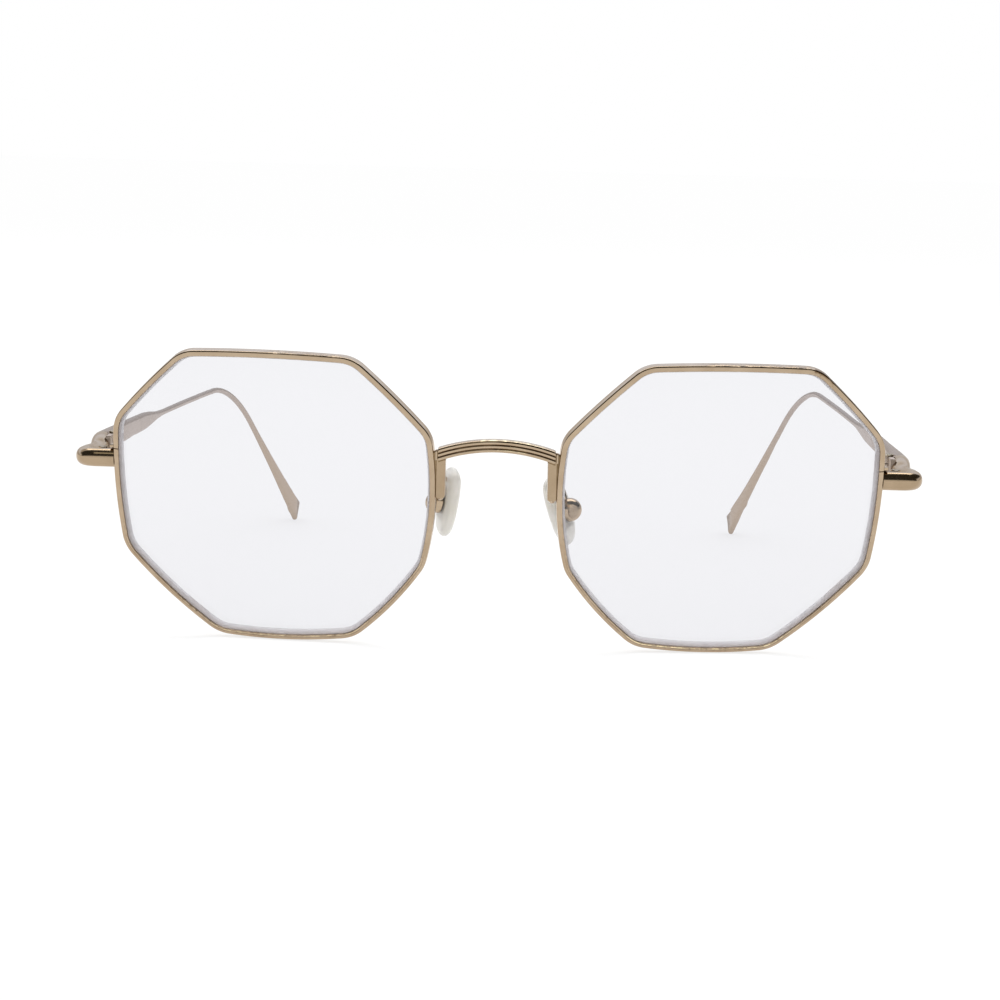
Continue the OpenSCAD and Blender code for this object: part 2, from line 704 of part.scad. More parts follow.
// The wire leaves the strip backwards and comes down on the box from above
function arm_bend(side) =
    [arm_from, arm_from + [0.7, 5.1, 1.3], arm_to(side) + [-0.4, 0.4, 3.4], arm_to(side)];
function bezier(p, f) = p[0] * pow(1 - f, 3) + p[1] * 3 * f * pow(1 - f, 2)
    + p[2] * 3 * f * f * (1 - f) + p[3] * pow(f, 3);
function bezier_run(p, f) = unit((p[1] - p[0]) * pow(1 - f, 2) + (p[2] - p[1]) * 2 * f * (1 - f)
    + (p[3] - p[2]) * f * f);
function arm_ring(side, f) =
    let (p = arm_bend(side), c = bezier(p, f), t = bezier_run(p, f),
        across = unit(cross(t, [1, 0, 0.3])), rise = cross(across, t))
    [for (k = [0:arm_sides - 1]) c + (across * cos(360 * k / arm_sides)
        + rise * sin(360 * k / arm_sides)) * arm_d / 2];

module strip() {
    strip_h = bridge_v - bridge_h / 2 - strip_v + 0.4;
    in_rim_frame() difference() {
        translate([nose_edge(strip_v) - strip_out, sag(nose_edge(strip_v), strip_v), strip_v]) union() {
            cube([strip_w, strip_t, strip_h]);
            // Solder joins the strip's back half to the rim
            translate([0, strip_t / 2, 0]) cube([strip_out + strip_w, strip_t / 2, strip_h]);
        }
        prism(0);
    }
}

// All that lies above the underside of the bridge's tongue
module above_tongue() {
    arch(bridge_angle + 2 * tongue_over) translate([tongue_low, -bridge_h * 2])
        square([bridge_h * 2, bridge_h * 5]);
}

module pad_arm(side) {
    difference() {
        union() {
            strip();
            loft([for (k = [0:arm_steps]) arm_ring(side, k / arm_steps)]);
        }
        in_pad_frame(side) box_solid();
        bridge();
        above_tongue();
    }
}

// Outside of the box: a ball with a straight collar, cut off flat at the mouth
module box_solid() {
    rotate([0, 90, 0]) pin(box_d, box_mouth, box_ball_x);
    difference() {
        translate([box_ball_x, 0, 0]) sphere(d = box_d, $fn = 64);
        translate([box_mouth - box_d, -box_d, -box_d]) cube([box_d, 2 * box_d, 2 * box_d]);
    }
}

module on_pad_pin() {
    translate([pin_x, 0, 0]) rotate([-90, 0, 0]) children();
}

pad_pin_front = -box_r + 0.3;
pad_head_t = 0.45;
pad_head_d = pad_screw_d + 0.5;
pad_pin_head = box_r - pad_head_t;

module pad_box(side) {
    in_pad_frame(side) difference() {
        box_solid();
        rotate([0, 90, 0]) pin(box_d - 2 * box_wall, box_mouth - 1, box_mouth + box_hollow - box_narrow);
        translate([box_mouth + box_hollow - box_narrow - eps, 0, 0]) rotate([0, 90, 0])
            cylinder(d1 = box_d - 2 * box_wall, d2 = box_floor_d, h = box_narrow + eps);
        on_pad_pin() pin(pad_screw_d + 2 * pivot_gap, pad_pin_front, box_r);
        on_pad_pin() pin(pad_head_d + 0.05, pad_pin_head, box_r + 1);
    }
}

module pad_screw(side) {
    in_pad_frame(side) on_pad_pin() {
        pin(pad_screw_d, pad_pin_front, pad_pin_head);
        slotted_head(pad_head_d, pad_pin_head, pad_head_t);
    }
}

module insert_plate() {
    translate([pad_t / 2 - plate_t, -pad_w / 4, -pad_h / 4]) cube([plate_t, pad_w / 2, pad_h / 2]);
}

module pad_insert(side) {
    in_pad_frame(side) difference() {
        union() {
            insert_plate();
            translate([pad_t / 2 - eps, -stem_w / 2, -stem_h / 2])
                cube([pin_x - pad_t / 2, stem_w, stem_h]);
            on_pad_pin() pin(2 * eye_r, -eye_w / 2, eye_w / 2);
        }
        on_pad_pin() pin(pad_screw_d + 2 * pivot_gap, -eye_w, eye_w);
    }
}

// A pad is a stack of rounded slices: widest just below its middle, thin at both ends
pad_steps = 16;
function pad_share(f) = sqrt(max(1 - pow(abs(2 * f - 1), 2.4), 0.012));
function pad_slice(k) =
    let (f = k / pad_steps, z = -cos(180 * f) * pad_h / 2, g = (z / pad_h + 0.5),
        w = pad_w * pad_share(g) * (0.9 + 0.12 * g), t = pad_t * mix(0.35, 1, pad_share(g)))
    ring([(pad_t - t) / 2, 0, z], [-1, 0, 0], [0, 1, 0], t, w, 0.8);

module pad(side) {
    in_pad_frame(side) difference() {
        loft([for (k = [0:pad_steps]) pad_slice(k)]);
        insert_plate();
    }
}

/* The nodes */

color(gold) stand(1) bridge();

color(gold) stand(1) rim();  // left_rim
color(clear) stand(1) lens();  // left_lens
color(gold) stand(1) upper_lug();  // left_upper_lug
color(gold) stand(1) lower_lug();  // left_lower_lug
color(gold) stand(1) closing_screw();  // left_closing_screw
color(gold) stand(1) end_piece();  // left_end_piece
color(gold) stand(1) front_hinge();  // left_front_hinge
color(gold) stand(1) hinge_screw();  // left_hinge_screw
color(gold) stand(1) temple_hinge();  // left_temple_hinge
color(rose) stand(1) temple(1);  // left_temple
color(gold) stand(1) pad_arm(1);  // left_pad_arm
color(gold) stand(1) pad_box(1);  // left_pad_box
color(gold) stand(1) pad_screw(1);  // left_pad_screw
color(gold) stand(1) pad_insert(1);  // left_pad_insert
color(silicone) stand(1) pad(1);  // left_pad

color(gold) stand(-1) rim();  // right_rim
color(clear) stand(-1) lens();  // right_lens
color(gold) stand(-1) upper_lug();  // right_upper_lug
color(gold) stand(-1) lower_lug();  // right_lower_lug
color(gold) stand(-1) closing_screw();  // right_closing_screw
color(gold) stand(-1) end_piece();  // right_end_piece
color(gold) stand(-1) front_hinge();  // right_front_hinge
color(gold) stand(-1) hinge_screw();  // right_hinge_screw
color(gold) stand(-1) temple_hinge();  // right_temple_hinge
color(rose) stand(-1) temple(-1);  // right_temple
color(gold) stand(-1) pad_arm(-1);  // right_pad_arm
color(gold) stand(-1) pad_box(-1);  // right_pad_box
color(gold) stand(-1) pad_screw(-1);  // right_pad_screw
color(gold) stand(-1) pad_insert(-1);  // right_pad_insert
color(silicone) stand(-1) pad(-1);  // right_pad
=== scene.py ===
"""Looks of the octagonal metal eyeglasses, fitted onto their CAD solids.

Lengths are in millimetres in the CAD source's own standing frame, and put() turns them
into the scene's metres. Left is the wearer's left, +X, on the right of the photograph.
A piece is made for the left side and mirrored for the right, apart from the marks on the
rims and the places of the nose pads, which differ from side to side.
"""

import json
import math

import bmesh
import bpy
from mathutils import Matrix, Vector

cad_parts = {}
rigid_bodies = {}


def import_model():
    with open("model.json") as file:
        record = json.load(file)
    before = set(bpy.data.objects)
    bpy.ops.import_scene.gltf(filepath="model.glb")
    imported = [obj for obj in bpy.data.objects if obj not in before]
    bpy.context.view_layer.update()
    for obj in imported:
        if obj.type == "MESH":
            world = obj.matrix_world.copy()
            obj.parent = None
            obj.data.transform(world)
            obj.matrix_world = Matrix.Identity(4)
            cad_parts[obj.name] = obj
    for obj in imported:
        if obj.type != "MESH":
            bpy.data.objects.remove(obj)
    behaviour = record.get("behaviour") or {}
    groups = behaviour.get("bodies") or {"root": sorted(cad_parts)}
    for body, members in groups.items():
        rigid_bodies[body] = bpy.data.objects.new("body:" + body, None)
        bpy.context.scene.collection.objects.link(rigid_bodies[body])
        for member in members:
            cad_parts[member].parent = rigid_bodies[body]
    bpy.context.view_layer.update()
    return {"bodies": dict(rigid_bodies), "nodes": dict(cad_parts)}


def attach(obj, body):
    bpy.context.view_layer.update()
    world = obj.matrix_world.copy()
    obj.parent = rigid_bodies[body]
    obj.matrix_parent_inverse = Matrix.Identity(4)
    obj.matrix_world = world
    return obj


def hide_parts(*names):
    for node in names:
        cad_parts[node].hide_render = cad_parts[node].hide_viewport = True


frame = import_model()
nodes = frame["nodes"]
kept = set(nodes.values()) | set(frame["bodies"].values())
for thing in [o for o in bpy.data.objects if o not in kept]:
    bpy.data.objects.remove(thing)

# Sizes that the CAD source names, in millimetres and degrees
MID_Y = 71.3143                       # middle of the standing pair, front to back
LENS_X, LENS_Z = 35.95, 23.1893       # middle of the left lens
BASE_R = 118.0                        # the rims and lenses lie on a ball of this radius
TILT, WRAP = math.radians(13.3), math.radians(6.6)
WIDEN = 52.3 / 52
# Corners of the octagon before rounding, away from the nose and up
CORNERS = [(u * WIDEN, v) for u, v in [
    (-12.7, 24.1), (-25.2, 12), (-24.4, -10.1), (-12.9, -23.4),
    (9.3, -24.2), (24.6, -10.2), (26, 11.3), (14.7, 23.5)]]
SIDE_R = [100, 52, 58, 108, 105, 118, 104, 168]
CORNER_R = 6.0
NOSE_SIDE, SPLIT_SIDE = 1, 5          # the side with the pad arm, and the sawn one
RIM_FACE, RIM_DEPTH = 0.86, 1.7
GROOVE, GROOVE_FRONT, GROOVE_BACK = 0.35, 0.5, 1.2
SPLIT_LOW, SPLIT_HIGH = 6.32, 6.47
LENS_FRONT, LENS_BACK = 0.3, 2.5
BRIDGE_END = Vector((9.9576, -1.85623, 31.9986))
BRIDGE_HALF, BRIDGE_R, BRIDGE_RISE = 9.2576, 26.0568, 1.7
BRIDGE_DEPTH = 1.3
PAD_H, PAD_W, PAD_T = 11.2, 7.6, 2.0
PAD_LEAN = 8.0
PADS = {"left": dict(centre=(10.2, 10.1, 22.2893), slant=15, splay=21),
        "right": dict(centre=(8.0, 9.7, 23.0893), slant=6, splay=17)}
STRIP_V, STRIP_W, STRIP_T, STRIP_SEAM = 1.8, 1.35, 1.2, 0.1
BOX_R, BOX_BALL_X, ARM_R = 1.9, 1.85, 0.5
SIDES = {"left": 1, "right": -1}


def put(p, side=1):
    """A place of the CAD source in the scene; side -1 mirrors it."""
    return Vector((p[0] * side / 1000, (p[1] - MID_Y) / 1000, p[2] / 1000))


def clamp(value, low=0.0, high=1.0):
    return min(max(value, low), high)


# ---------------------------------------------------------------- mesh helpers

def make(name, points, faces, materials, side=1, tags=None, angle=32, marks=None):
    """A mesh object from points in millimetres.

    tags gives each face's material, marks the values at each point that materials read,
    and angle the bend in degrees from which an edge is sharp.
    """
    mesh = bpy.data.meshes.new(name)
    mesh.from_pydata([put(p, side) for p in points], [], faces)
    for m in materials:
        mesh.materials.append(m)
    if tags:
        mesh.polygons.foreach_set("material_index", tags)
    for key, values in (marks or {}).items():
        layer = mesh.attributes.new(key, "FLOAT", "POINT")
        layer.data.foreach_set("value", values)
    bm = bmesh.new()
    bm.from_mesh(mesh)
    bmesh.ops.recalc_face_normals(bm, faces=bm.faces)
    bm.to_mesh(mesh)
    bm.free()
    mesh.shade_smooth()
    mesh.set_sharp_from_angle(angle=math.radians(angle))
    piece = bpy.data.objects.new(name, mesh)
    bpy.context.scene.collection.objects.link(piece)
    return piece


def tube_faces(rings, n, closed):
    """Quads between rings of n points each, with end caps unless the rings close."""
    faces = []
    for j in range(rings if closed else rings - 1):
        for k in range(n):
            a, b = j * n + k, j * n + (k + 1) % n
            c, d = (b + n) % (rings * n), (a + n) % (rings * n)
            faces.append((a, b, c, d))
    if not closed:
        faces.append(tuple(range(n))[::-1])
        faces.append(tuple(range((rings - 1) * n, rings * n)))
    return faces


def fan(points, hub, row, n):
    """Triangles that close a ring of n points, with a hub that joins the points."""
    points.append(hub)
    return [(len(points) - 1, row * n + (k + 1) % n, row * n + k) for k in range(n)]


def fillet(cx, cy, r, a0, a1, steps):
    """Points of an arc in a profile, angles in degrees."""
    turns = [math.radians(a0 + (a1 - a0) * k / steps) for k in range(steps + 1)]
    return [(cx + r * math.cos(t), cy + r * math.sin(t)) for t in turns]


def spline(a, b, c, d, f):
    """The point at share f from b to c of a Catmull-Rom curve through four points."""
    return (b + (c - a) * f / 2 + (2 * a - 5 * b + 4 * c - d) * f * f / 2
            + (3 * b - a - 3 * c + d) * f ** 3 / 2)


# ---------------------------------------------------------------- materials

def rgb(r, g, b):
    """A colour given in 0 to 255 steps, as the linear values that nodes take."""
    return tuple(((v / 255 + 0.055) / 1.055) ** 2.4 if v > 10 else v / 255 / 12.92
                 for v in (r, g, b)) + (1.0,)


class Nodes:
    """A short way to write the node tree of a material or the world."""

    def __init__(self, owner, output="OutputMaterial"):
        owner.use_nodes = True
        self.owner = owner
        self.tree = owner.node_tree
        self.tree.nodes.clear()
        self.out = self.tree.nodes.new("ShaderNode" + output)
        self.place = None

    def add(self, kind, inputs=None, **settings):
        node = self.tree.nodes.new("ShaderNode" + kind)
        for key, value in settings.items():
            setattr(node, key, value)
        for key, value in (inputs or {}).items():
            self.set(node.inputs[key], value)
        return node

    def set(self, socket, value):
        if isinstance(value, bpy.types.NodeSocket):
            self.tree.links.new(value, socket)
        elif isinstance(value, bpy.types.Node):
            self.tree.links.new(value.outputs[0], socket)
        else:
            socket.default_value = value

    def close(self, shader):
        """Links the last shader to the output, and gives back the material or world."""
        self.set(self.out.inputs["Surface"], shader)
        return self.owner

    def coords(self):
        if self.place is None:
            self.place = self.add("TexCoord").outputs["Object"]
        return self.place

    def noise(self, scale, detail=3.0, stretch=(1, 1, 1), rough=0.5):
        """Noise whose scale is in waves to the metre: 1000 makes spots of about 1 mm."""
        drawn = self.add("Mapping", {"Vector": self.coords(), "Scale": stretch})
        return self.add("TexNoise", {"Vector": drawn, "Scale": scale, "Detail": detail,
                                     "Roughness": rough}).outputs["Fac"]

    def mark(self, name):
        """A value that the mesh carries at its points."""
        return self.add("Attribute", attribute_name=name,
                        attribute_type="GEOMETRY").outputs["Fac"]

    def span(self, value, low, high, to_low=0.0, to_high=1.0):
        return self.add("MapRange", {"Value": value, "From Min": low, "From Max": high,
                                     "To Min": to_low, "To Max": to_high}).outputs["Result"]

    def mix(self, factor, a, b):
        return self.add("Mix", {0: factor, 6: a, 7: b}, data_type="RGBA").outputs[2]

    def math(self, operation, a, b=0.0):
        return self.add("Math", {0: a, 1: b}, operation=operation).outputs[0]

    def tint_shadow(self, shader, colour):
        """A shader of a clear thing whose shadow is only tinted."""
        clear = self.add("BsdfTransparent", {"Color": colour})
        shadow = self.add("LightPath").outputs["Is Shadow Ray"]
        return self.add("MixShader", {0: shadow, 1: shader, 2: clear})


BUMP_DEPTH = 0.0002                   # height of the finest relief, in metres
WARM_FROM, WARM_TO = 0.034, 0.016     # heights between which the temples turn warmer
# Tones of the painted dark reflection and shade, which the blot shares, of the painted
# highlights, and of dirt
SHADE_AND_BLOT_TONE, PAINTED_HIGHLIGHT_TONE, DIRT_TONE = rgb(104, 76, 46), rgb(255, 238, 196), rgb(92, 72, 50)
DIRT_ROUGH, WORN_BUMP = 0.6, 0.9


def metal(name, tone, dark, rough, scratch=0.02, dirt_and_painted_light=False, grazing=1.0, low=None):
    """Polished plating: cloudy tone, hairline scratches and a slightly uneven gloss.

    low is the tone that it turns to near the floor. One with dirt and painted light also reads
    the marks of its mesh: "grime" darkens it with dirt, "line" with painted dark reflection and
    shade and with a blot, "painted_highlight" lightens it with painted highlights and "wear"
    roughens it.
    """
    n = Nodes(bpy.data.materials.new(name))
    cloud = n.span(n.noise(260, 4), 0.35, 0.68)
    colour = n.mix(cloud, tone, dark)
    if low:
        z = n.add("SeparateXYZ", {0: n.coords()}).outputs["Z"]
        colour = n.mix(n.span(z, WARM_FROM, WARM_TO), colour, low)
    fine = n.noise(2600, 2)
    hair = n.noise(900, 2, stretch=(0.12, 3.0, 3.0))
    gloss = n.span(fine, 0.3, 0.7, rough * 0.8, rough * 1.3)
    bump = n.add("Bump", {"Strength": scratch, "Distance": BUMP_DEPTH,
                          "Height": n.math("ADD", n.math("MULTIPLY", fine, 0.5), hair)})
    if dirt_and_painted_light:
        n.set(bump.inputs["Strength"], n.span(n.mark("wear"), 0, 1, scratch, WORN_BUMP))
        # Painted dark reflection and shade along the marked lines and in the blot, in patches
        patches = n.span(n.noise(420, 2), 0.4, 0.55, 0.35, 0.95)
        colour = n.mix(n.math("MULTIPLY", n.mark("line"), patches), colour, SHADE_AND_BLOT_TONE)
        # Painted highlights as bright flecks where the mesh marks them
        flecks = n.span(n.noise(1100, 3), 0.46, 0.6, 0.2, 1)
        colour = n.mix(n.math("MULTIPLY", n.mark("painted_highlight"), flecks), colour, PAINTED_HIGHLIGHT_TONE)
        spots = n.span(n.noise(1500, 4, rough=0.7), 0.52, 0.66)
        dirt = n.math("MULTIPLY", n.mark("grime"), spots)
        colour = n.mix(dirt, colour, DIRT_TONE)
        gloss = n.add("Mix", {0: dirt, 2: gloss, 3: DIRT_ROUGH}).outputs[0]
    edge_tint = (grazing, grazing * 0.97, grazing * 0.95, 1)
    return n.close(n.add("BsdfPrincipled", {
        "Base Color": colour, "Metallic": 1.0, "Roughness": gloss, "Normal": bump,
        "Specular Tint": edge_tint}))


CHAMPAGNE = rgb(190, 170, 145), rgb(178, 157, 131)
GOLD = metal("frame_gold_plate", *CHAMPAGNE, rough=0.13)
GOLD_RIM = metal("frame_gold_rim", *CHAMPAGNE, rough=0.13, dirt_and_painted_light=True)
GOLD_DEEP = metal("frame_gold_deep", rgb(177, 156, 129), rgb(166, 145, 118), rough=0.14)
HINGE = metal("hinge_plate", rgb(192, 177, 163), rgb(176, 161, 147), rough=0.42)
ROSE = metal("temple_rose_plate", rgb(186, 174, 168), rgb(175, 162, 155), rough=0.22,
             grazing=0.86, low=rgb(184, 166, 147))
SCREW = metal("screw_plate", rgb(205, 196, 180), rgb(184, 172, 152), rough=0.22, scratch=0.05)
# Solder, its dark tone painted shade in the seams and joints where it shows
SOLDER_AND_SHADE = metal("solder", rgb(150, 128, 98), rgb(112, 90, 62), rough=0.35, scratch=0.2)
INSERT = metal("insert_plate", rgb(190, 174, 146), rgb(172, 155, 126), rough=0.3,
               scratch=0.04)


def lens_material():
    """Clear plastic with faint smears."""
    n = Nodes(bpy.data.materials.new("lens_clear"))
    smear = n.span(n.noise(60, 3), 0.4, 0.75, 0.0, 0.02)
    glass = n.add("BsdfPrincipled", {"Base Color": rgb(234, 234, 237),
                                     "Transmission Weight": 1.0, "IOR": 1.5,
                                     "Roughness": smear})
    return n.close(n.tint_shadow(glass, rgb(240, 241, 244)))


def lens_edge_material():
    """The ground edge: frosted, grey beside the rim with painted shade, paler and clearer
    inwards.
    """
    n = Nodes(bpy.data.materials.new("lens_ground_edge"))
    streak = n.span(n.noise(1300, 3), 0.35, 0.68, -0.1, 0.12)
    inward = n.add("Clamp", {"Value": n.math("ADD", n.mark("inward"), streak)}).outputs[0]
    # Painted shade: the tone greys towards the rim
    tone = n.mix(inward, rgb(200, 191, 187), rgb(240, 237, 239))
    frosted = n.add("BsdfPrincipled", {"Base Color": tone, "Roughness": 0.6, "IOR": 1.3})
    clear = n.add("BsdfTransparent", {"Color": (1, 1, 1, 1)})
    clearness = n.span(inward, 0.3, 1, 0.0, 0.25)
    return n.close(n.add("MixShader", {0: clearness, 1: frosted, 2: clear}))


def silicone_material():
    """Soft, cloudy and half clear."""
    n = Nodes(bpy.data.materials.new("pad_silicone"))
    cloud = n.span(n.noise(240, 4), 0.35, 0.7)
    tone = n.mix(cloud, rgb(250, 248, 244), rgb(240, 237, 227))
    bump = n.add("Bump", {"Strength": 0.06, "Distance": BUMP_DEPTH,
                          "Height": n.noise(1400, 3)})
    soft = n.add("BsdfPrincipled", {"Base Color": tone, "Roughness": 0.32, "Normal": bump,
                                    "IOR": 1.41, "Transmission Weight": 0.45})
    return n.close(n.tint_shadow(soft, rgb(200, 200, 198)))


LENS, LENS_EDGE, SILICONE = lens_material(), lens_edge_material(), silicone_material()


# ---------------------------------------------------------------- outline of the rims

def corner(i):
    return Vector(CORNERS[i % 8])


def side_centre(i):
    """Centre of the wide arc that forms side i, between corners i and i + 1."""
    a, b = corner(i), corner(i + 1)
    half, along = (b - a).length / 2, (b - a).normalized()
    inwards = Vector((-along.y, along.x))
    return (a + b) / 2 + inwards * math.sqrt(SIDE_R[i % 8] ** 2 - half ** 2)


def corner_centre(i):
    """Centre of the arc that rounds corner i and runs smoothly into both sides."""
    c1, c2 = side_centre(i - 1), side_centre(i)
    r1, r2 = SIDE_R[(i - 1) % 8] - CORNER_R, SIDE_R[i % 8] - CORNER_R
    d, e = (c2 - c1).length, (c2 - c1).normalized()
    along = (r1 * r1 - r2 * r2 + d * d) / (2 * d)
    across = Vector((-e.y, e.x)) * math.sqrt(r1 * r1 - along * along)
    p, q = c1 + e * along + across, c1 + e * along - across
    return p if (p - corner(i)).length < (q - corner(i)).length else q


def bearing(v):
    return math.atan2(v.y, v.x)


ARC_STEPS = 14


def stations(centre, radius, a, b):
    """Places along an arc from bearing a on to b, without the last one."""
    b = a + (b - a) % (2 * math.pi)
    return [(centre, radius, a + (b - a) * k / ARC_STEPS) for k in range(ARC_STEPS)]


def corner_stations(i):
    f = corner_centre(i)
    return stations(f, CORNER_R, bearing(f - side_centre(i - 1)), bearing(f - side_centre(i)))


def side_stations(i, a=None, b=None):
    c = side_centre(i)
    a = bearing(corner_centre(i) - c) if a is None else a
    b = bearing(corner_centre(i + 1) - c) if b is None else b
    return stations(c, SIDE_R[i % 8], a, b)


def split_bearing(v):
    c = side_centre(SPLIT_SIDE)
    return math.asin((v - c.y) / SIDE_R[SPLIT_SIDE])


def nose_edge(v):
    """Where the rim's outer edge runs beside the nose, at height v."""
    c = side_centre(NOSE_SIDE)
    return c.x - math.sqrt(SIDE_R[NOSE_SIDE] ** 2 - (v - c.y) ** 2)


def in_rim(u, v, depth):
    """A point of the rim's own frame, at a depth behind its front, in the standing frame."""
    y = BASE_R - math.sqrt((BASE_R - depth) ** 2 - u * u - v * v)
    x1, y1 = u * math.cos(WRAP) - y * math.sin(WRAP), u * math.sin(WRAP) + y * math.cos(WRAP)
    return (LENS_X + x1, y1 * math.cos(TILT) - v * math.sin(TILT),
            LENS_Z + y1 * math.sin(TILT) + v * math.cos(TILT))


def at(station, inset, depth, share=1.0):
    """A point beside a station: inset from the outline, then drawn in to the middle."""
    c, r, a = station
    q = (c + Vector((math.cos(a), math.sin(a))) * (r - inset)) * share
    return in_rim(q.x, q.y, depth)


# Once round, and from the upper end of the saw cut round to its lower end
closed_run = [s for i in range(8) for s in corner_stations(i) + side_stations(i)]
open_run = side_stations(SPLIT_SIDE, a=split_bearing(SPLIT_HIGH))
for i in (6, 7, 0, 1, 2, 3, 4):
    open_run += corner_stations(i) + side_stations(i)
open_run += corner_stations(SPLIT_SIDE) + side_stations(SPLIT_SIDE, b=split_bearing(SPLIT_LOW))
open_run.append((side_centre(SPLIT_SIDE), SIDE_R[SPLIT_SIDE], split_bearing(SPLIT_LOW)))


# ---------------------------------------------------------------- rims

# Section of the rim, as inset from its outer edge and depth: rounded outside, grooved inside
OUTER_ROUND, INNER_ROUND = 0.22, 0.14
LINE_INSET = 0.53                     # where a thin painted dark reflection line runs along the front
inner, groove_floor = RIM_FACE - INNER_ROUND, RIM_FACE - GROOVE
rim_profile = (
    fillet(OUTER_ROUND, OUTER_ROUND, OUTER_ROUND, 180, 270, 5)
    + [(w, 0.0) for w in (0.46, LINE_INSET, 0.6)]
    + fillet(inner, INNER_ROUND, INNER_ROUND, 270, 360, 4)
    + [(RIM_FACE, GROOVE_FRONT), (groove_floor, GROOVE_FRONT),
       (groove_floor, GROOVE_BACK), (RIM_FACE, GROOVE_BACK)]
    + fillet(inner, RIM_DEPTH - INNER_ROUND, INNER_ROUND, 0, 90, 4)
    + fillet(OUTER_ROUND, RIM_DEPTH - OUTER_ROUND, OUTER_ROUND, 90, 180, 5))

# Where the marks lie: u away from the nose and v up, in millimetres
WORN_TOP = {"left": (-4, 13.5), "right": (-11, 0)}
WORN, WORN_ABOVE = 0.8, 21
GRIME_LEVEL, GRIME_FALL, GRIME_LEAST = 0.35, 26, 0.12
BLOT_U, BLOT_ABOVE = (14, 17), 20
LINE_STARTS, LINE_FULL = -6, -11      # heights between which the painted dark reflection line sets in
PAINTED_GLINT_STARTS, PAINTED_GLINT_FULL = -20, -23   # and the painted highlight glints along the inner edge
PAINTED_GLINT_STRENGTH = {"left": 1.0, "right": 0.5}
PAINTED_GLINT_INSET = (0.7, 0.84)
EDGE_INSET = 0.12                     # the outermost edge, which wears
INSIDE_INSET = RIM_FACE - 0.2         # from here inwards grime gathers


def build_rim(name, side):
    """The sawn rim, with its marks.

    Grime gathers on the inner edges, most along the lower half. A painted dark reflection line
    shows on the lower half, painted glints of highlight along the bottom, and wear on the top's
    outer edge, and the left rim has a dark blot at its upper outer corner.
    """
    points = [at(s, w, d) for s in open_run for w, d in rim_profile]
    marks = {"grime": [], "wear": [], "line": [], "painted_highlight": []}
    for c, r, a in open_run:
        u, v = c.x + r * math.cos(a), c.y + r * math.sin(a)
        low = clamp(GRIME_LEVEL - v / GRIME_FALL, GRIME_LEAST)
        worn_from, worn_to = WORN_TOP[name]
        worn = WORN if v > WORN_ABOVE and worn_from < u < worn_to else 0.0
        in_blot = v > BLOT_ABOVE and BLOT_U[0] < u < BLOT_U[1]
        blot = 1.0 if name == "left" and in_blot else 0.0
        # Painted dark reflection: the line sets in along the lower half
        under = clamp((LINE_STARTS - v) / (LINE_STARTS - LINE_FULL))
        # Painted highlights: glints along the bottom, brighter on the left rim
        bottom = clamp((PAINTED_GLINT_STARTS - v) / (PAINTED_GLINT_STARTS - PAINTED_GLINT_FULL))
        for w, d in rim_profile:
            on_edge, on_inside = w < EDGE_INSET, w > INSIDE_INSET
            on_line = d == 0 and w == LINE_INSET
            on_painted_highlight = d < 0.2 and PAINTED_GLINT_INSET[0] < w < PAINTED_GLINT_INSET[1]
            at_blot = blot if w < 0.3 and d < 0.5 else 0.0
            outside = max(0.15 * low, 0.4 * worn if on_edge else 0, blot)
            marks["grime"].append(0.7 * low if on_inside else outside)
            marks["wear"].append(worn if on_edge and d < 1.0 else 0.0)
            marks["line"].append(under if on_line else at_blot)
            marks["painted_highlight"].append(bottom * PAINTED_GLINT_STRENGTH[name] if on_painted_highlight else 0.0)
    faces = tube_faces(len(open_run), len(rim_profile), False)
    piece = make(name + "_rim_shell", points, faces, [GOLD_RIM], side, marks=marks)
    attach(piece, "front")
    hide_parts(name + "_rim")


# ---------------------------------------------------------------- lenses

INSET = RIM_FACE + 0.03               # the lens's edge in front and behind the groove
SLANT = 0.55                          # width of the frosted slant behind the rim
POLISH = 0.13                         # and of the bright facet along its inner edge
CLEAR_IN = INSET + SLANT + POLISH
LENS_RIDGE = INSET - 0.3              # the ridge that sits in the groove
CHAMFER = 0.1
lens_edge = [(INSET + CHAMFER, LENS_FRONT), (INSET, LENS_FRONT + 0.08), (INSET, 0.56),
             (LENS_RIDGE, 0.78), (LENS_RIDGE, 0.92), (INSET, 1.14), (INSET, 1.3),
             (INSET + SLANT, LENS_BACK - POLISH), (CLEAR_IN, LENS_BACK)]
LENS_RINGS = 10
FRONT_INWARD = 0.7                    # how far inwards the front chamfer is shaded


def build_lens(name, side):
    """The lens: rings out to the edge in front, round it, and back in behind."""
    run, n = closed_run, len(closed_run)
    points, tags, inward = [], [], []
    rows = ([(INSET + CHAMFER, LENS_FRONT, k / LENS_RINGS) for k in range(1, LENS_RINGS)]
            + [(w, d, 1.0) for w, d in lens_edge]
            + [(CLEAR_IN, LENS_BACK, k / LENS_RINGS) for k in range(LENS_RINGS - 1, 0, -1)])
    for w, d, share in rows:
        points += [at(s, w, d, share) for s in run]
        slanted = clamp((w - INSET) / (CLEAR_IN - INSET))
        inward += [slanted if d > 0.5 else FRONT_INWARD] * n
    faces = tube_faces(len(rows), n, False)[:-2]
    for j in range(len(rows) - 1):
        ground = LENS_RINGS - 1 <= j <= len(rows) - LENS_RINGS - 1
        tags += [1 if ground else 0] * n
    for depth, row in ((LENS_FRONT, 0), (LENS_BACK, len(rows) - 1)):
        faces += fan(points, in_rim(0, 0, depth), row, n)
        inward.append(0.0)
        tags += [0] * n
    piece = make(name + "_lens_clear", points, faces, [LENS, LENS_EDGE], side, tags=tags,
                 angle=8, marks={"inward": inward})
    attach(piece, "front")
    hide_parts(name + "_lens")


# ---------------------------------------------------------------- bridge

FORWARD = 0.3                         # the bridge's front stands this far before BRIDGE_END


